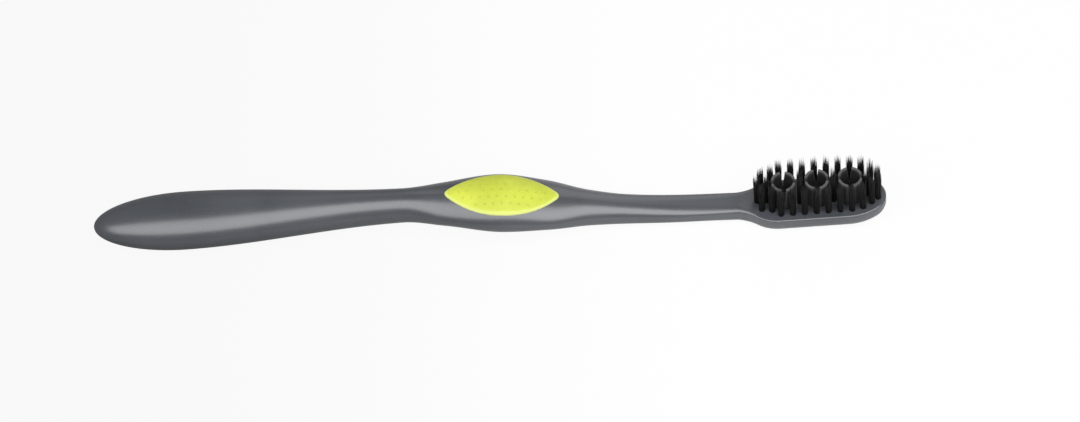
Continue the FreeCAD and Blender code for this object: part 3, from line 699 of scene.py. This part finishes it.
# Tongue cleaner on the head's back
cleaner = {
    "inset": 1.86, "edgeRound": 0.2, "level": -4.0, "top": -3.7,
    "nubRadius": 0.33, "nubHeight": 0.5, "nubMargin": 0.5, "sunk": 0.02, "innerPitch": 1.08,
    "circleRadius": 3.5, "circleNubs": 18, "toeArcs": [4.65, 5.75], "arcPitch": 1.2,
    "between": [(0.0, 2.0), (0.65, 3.05), (1.65, 3.75), (0.0, 3.85)],
    "ringRadius": 2.33, "ringWidth": 0.5, "ringHeight": 0.5, "ringSlit": 0.8, "endDraw": 0.7,
}


def cleanerFrame():
    # where the toe's fan and the round heel are centred, and the straight sides' distance from the axis
    edge = handle["headHalf"] - cleaner["inset"]
    return handle["tip"] - handle["toeLength"], handle["recessHeel"], edge


def cleanerPad():
    # outline walked once round the pad, drawn in ring by ring towards its axis: level, with a rolled edge
    c = cleaner
    toeX, heelX, edge = cleanerFrame()
    toeAngle = np.linspace(math.pi / 2, -math.pi / 2, 61)
    heelAngle = np.linspace(-math.pi / 2, -3 * math.pi / 2, 41)[1:-1]
    sideX = np.linspace(heelX, toeX, 13)[1:-1]
    toe = toeReach(toeAngle, c["inset"])
    rim = np.concatenate([
        np.stack([toeX + toe * np.cos(toeAngle), toe * np.sin(toeAngle)], -1),
        np.stack([sideX[::-1], np.full_like(sideX, -edge)], -1),
        np.stack([heelX + edge * np.cos(heelAngle), edge * np.sin(heelAngle)], -1),
        np.stack([sideX, np.full_like(sideX, edge)], -1),
    ])
    spine = np.stack([np.clip(rim[:, 0], heelX, toeX), 0 * rim[:, 0]], -1)
    reach = np.linalg.norm(rim - spine, axis=1)[:, None]
    roll = np.linspace(0, math.pi / 2, 6)
    share = np.concatenate([np.linspace(0, 1, 7)[:-1], np.ones(6), [1.0]])
    inset = np.concatenate([np.full(6, 1.0), 1 - np.sin(roll), [0.0]]) * c["edgeRound"]
    rolled = c["level"] + c["edgeRound"] * (1 - np.cos(roll))
    depth = np.concatenate([np.full(6, c["level"]), rolled, [c["top"]]])
    pull = share[None, :] * (1 - inset[None, :] / reach)
    xy = spine[:, None] + (rim - spine)[:, None] * pull[..., None]
    z = np.broadcast_to(depth[None, :, None], xy.shape[:-1] + (1,))
    return np.concatenate([xy, z], -1), gridFaces(*xy.shape[:2], closeRows=True)


def spokes(radius, angle):
    # points at a radius in the given directions
    return radius * np.stack([np.cos(angle), np.sin(angle)], -1)


def cleanerNubs():
    # dome nubs: seven inside each ring, a circle round it, a few where two circles part,
    # and arcs up to the toe
    c = cleaner
    toeX, heelX, edge = cleanerFrame()
    rings = np.stack([cup["places"], np.zeros_like(cup["places"])], -1)
    seven = np.concatenate([[[0, 0]], spokes(c["innerPitch"], np.arange(6) * math.pi / 3)])
    circle = spokes(c["circleRadius"], np.arange(c["circleNubs"]) * 2 * math.pi / c["circleNubs"])
    quarter = np.array(c["between"])
    gap = np.concatenate([quarter * [i, j] for i in (1, -1) for j in (1, -1)])
    gap = np.unique(gap + 0.0, axis=0)
    middles = (rings[1:] + rings[:-1]) / 2
    arcs = [spokes(r, np.arange(-5, 6) * c["arcPitch"] / r) + rings[-1] for r in c["toeArcs"]]
    groups = [rings[:, None] + seven, rings[:, None] + circle, middles[:, None] + gap] + arcs
    places = np.concatenate([group.reshape(-1, 2) for group in groups])
    ahead = places[:, 0] > toeX
    angle = np.arctan2(places[:, 1], np.where(ahead, places[:, 0] - toeX, 1))
    toToe = toeReach(angle, c["inset"]) - np.hypot(places[:, 0] - toeX, places[:, 1])
    toSide = edge - np.hypot(np.minimum(places[:, 0] - heelX, 0), places[:, 1])
    places = places[np.where(ahead, toToe, toSide) > c["nubMargin"]]
    points, quads = domes(places, levelLift, c["nubRadius"], c["nubHeight"], 9)
    points[:, 2] = c["level"] + c["sunk"] - points[:, 2]
    return points, quads


def cleanerRings():
    # broken rings: a half-round section carried along four arcs, its ends drawn in to close
    c = cleaner
    along = np.concatenate([[-1.0], np.linspace(-1, 1, 11), [1.0]])
    ends = np.ones(along.size)
    ends[[0, -1]] = 0.0
    ends[[1, -2]] = c["endDraw"]
    halfSpan = math.pi / 4 - c["ringSlit"] / 2 / c["ringRadius"]
    turn = np.linspace(0, math.pi, 9)
    parts = []
    for x in cup["places"]:
        for quarter in range(4):
            angle = quarter * math.pi / 2 + along * halfSpan
            out = c["ringRadius"] + c["ringWidth"] / 2 * np.cos(turn)[None, :] * ends[:, None]
            down = c["level"] + c["sunk"] - c["ringHeight"] * np.sin(turn)[None, :] * ends[:, None]
            points = np.stack([x + out * np.cos(angle)[:, None], out * np.sin(angle)[:, None], down], -1)
            parts.append((points, gridFaces(*out.shape, closeColumns=True)))
    return parts


cleanerShapes = [cleanerPad(), cleanerNubs()] + cleanerRings()
cleanerPiece = meshPiece("tongueCleanerPad", cleanerShapes, finish["cleaner"],
                         sharp=60, replaces=["tongue_cleaner"])
print("tongue cleaner:", len(cleanerPiece.data.polygons), "faces")

# The wire anchors keep their solids, in brass.
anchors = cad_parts["tuft_anchors"]
anchors.data.materials.clear()
anchors.data.materials.append(finish["anchor"])

# Floor, light and camera
studio = {
    "azimuth": -1.1794, "elevation": 54.0225, "roll": -1.149, "distance": 1.07735, "lens": 150.0,
    "sensor": 36.0, "clipStart": 0.05, "aim": (0, 0, 0.008), "slideRight": 0.011847, "slideUp": -0.001819,
    "boxHeight": 61.5, "boxDistance": 1.25, "panelSize": (1.7, 1.14),
    "leftPower": 19.6, "rightPower": 23.8,
    "backSpot": (0.33, 0.94, 0.58), "backSize": (0.72, 0.85), "backPower": 1.9,
    "worldLevel": 0.15, "floorHalf": 4.0, "floorLift": 0.93, "glossLift": 0.08,
    "shadeFrom": -0.08, "shadeTo": 0.06,
}


def cameraAxes():
    # view direction from the target, with right and up turned by the roll
    az, el, roll = (math.radians(studio[k]) for k in ("azimuth", "elevation", "roll"))
    back = Vector((math.sin(az) * math.cos(el), -math.cos(az) * math.cos(el), math.sin(el)))
    right = Vector((math.cos(az), math.sin(az), 0))
    right = (right - back * right.dot(back)).normalized()
    up = back.cross(right)
    rolledRight = right * math.cos(roll) + up * math.sin(roll)
    rolledUp = up * math.cos(roll) - right * math.sin(roll)
    return rolledRight, rolledUp, back


def placeCamera():
    right, up, back = cameraAxes()
    data = bpy.data.cameras.new("photoCamera")
    data.lens = studio["lens"]
    data.sensor_width = studio["sensor"]
    data.clip_start = studio["clipStart"]
    camera = bpy.data.objects.new("photoCamera", data)
    bpy.context.scene.collection.objects.link(camera)
    spot = Vector(studio["aim"]) + back * studio["distance"]
    spot = spot + right * studio["slideRight"] + up * studio["slideUp"]
    turn = Matrix((right, up, back)).transposed().to_4x4()
    camera.matrix_world = Matrix.Translation(spot) @ turn
    bpy.context.scene.camera = camera


def softLight(name, spot, size, power, aim):
    data = bpy.data.lights.new(name, "AREA")
    data.shape = "RECTANGLE"
    data.size, data.size_y = size
    data.energy = power
    lamp = bpy.data.objects.new(name, data)
    bpy.context.scene.collection.objects.link(lamp)
    away = (Vector(spot) - Vector(aim)).normalized()
    lamp.matrix_world = Matrix.Translation(spot) @ away.to_track_quat("Z", "Y").to_matrix().to_4x4()


def paleFloor():
    # wide paper with painted shade, darker towards the butt's end and paler towards the head's, lifted to
    # plain white where it is seen, less the object's soft shadow
    mesh = bpy.data.meshes.new("paleFloor")
    half = studio["floorHalf"]
    corners = [(-half, -half, 0), (half, -half, 0), (half, half, 0), (-half, half, 0)]
    mesh.from_pydata(corners, [], [(0, 1, 2, 3)])
    floor = bpy.data.objects.new("paleFloor", mesh)
    bpy.context.scene.collection.objects.link(floor)
    material, tree, shader, place = blankMaterial("floorPaper")
    # painted shade: the paper's colour runs from dark at the butt's end (-X) to pale towards the head,
    # standing in for less light on the left
    along = node(tree, "ShaderNodeSeparateXYZ", Vector=place)
    shade = node(tree, "ShaderNodeMapRange",
                 _0=along.outputs["X"], _1=studio["shadeFrom"], _2=studio["shadeTo"])
    tone = node(tree, "ShaderNodeValToRGB", Fac=shade.outputs[0],
                stops=[(0.0, linear("#686868")), (1.0, linear("#d6d6d6"))])
    tree.links.new(tone.outputs[0], shader.inputs["Base Color"])
    shader.inputs["Roughness"].default_value = 0.9
    rays = node(tree, "ShaderNodeLightPath")
    mirrored = node(tree, "ShaderNodeMath", {"operation": "MAXIMUM"},
                    _0=rays.outputs["Is Glossy Ray"], _1=rays.outputs["Is Transmission Ray"])
    direct = node(tree, "ShaderNodeMath", {"operation": "MULTIPLY"},
                  _0=rays.outputs["Is Camera Ray"], _1=studio["floorLift"])
    lift = node(tree, "ShaderNodeMath", {"operation": "MULTIPLY_ADD"},
                _0=mirrored.outputs[0], _1=studio["glossLift"], _2=direct.outputs[0])
    white = node(tree, "ShaderNodeEmission", Color=(1, 1, 1, 1), Strength=1.0)
    mixed = node(tree, "ShaderNodeMixShader",
                 _0=lift.outputs[0], _1=shader.outputs[0], _2=white.outputs[0])
    tree.links.new(mixed.outputs[0], tree.nodes["Material Output"].inputs["Surface"])
    mesh.materials.append(material)


def whiteSurround():
    # white where the camera looks past the floor, dim for the light it throws
    world = bpy.data.worlds.new("whiteSurround")
    bpy.context.scene.world = world
    world.use_nodes = True
    tree = world.node_tree
    tree.nodes["Background"].inputs["Color"].default_value = (1, 1, 1, 1)
    rays = node(tree, "ShaderNodeLightPath")
    level = node(tree, "ShaderNodeMix", {"data_type": "FLOAT"}, _0=rays.outputs["Is Camera Ray"],
                 _2=studio["worldLevel"], _3=1.0)
    tree.links.new(level.outputs[0], tree.nodes["Background"].inputs["Strength"])


placeCamera()
paleFloor()
whiteSurround()
boxTilt = math.radians(studio["boxHeight"])
boxSpot = Vector((0, -math.cos(boxTilt), math.sin(boxTilt))) * studio["boxDistance"]
for side, shift in (("left", -0.5), ("right", 0.5)):
    aside = Vector((shift * studio["panelSize"][0], 0, 0))
    softLight(f"{side}Softbox", boxSpot + aside, studio["panelSize"], studio[f"{side}Power"], aside)
softLight("backSoftbox", studio["backSpot"], studio["backSize"], studio["backPower"], studio["aim"])
bpy.context.scene.view_settings.view_transform = "Standard"
print("stage, light and camera set")
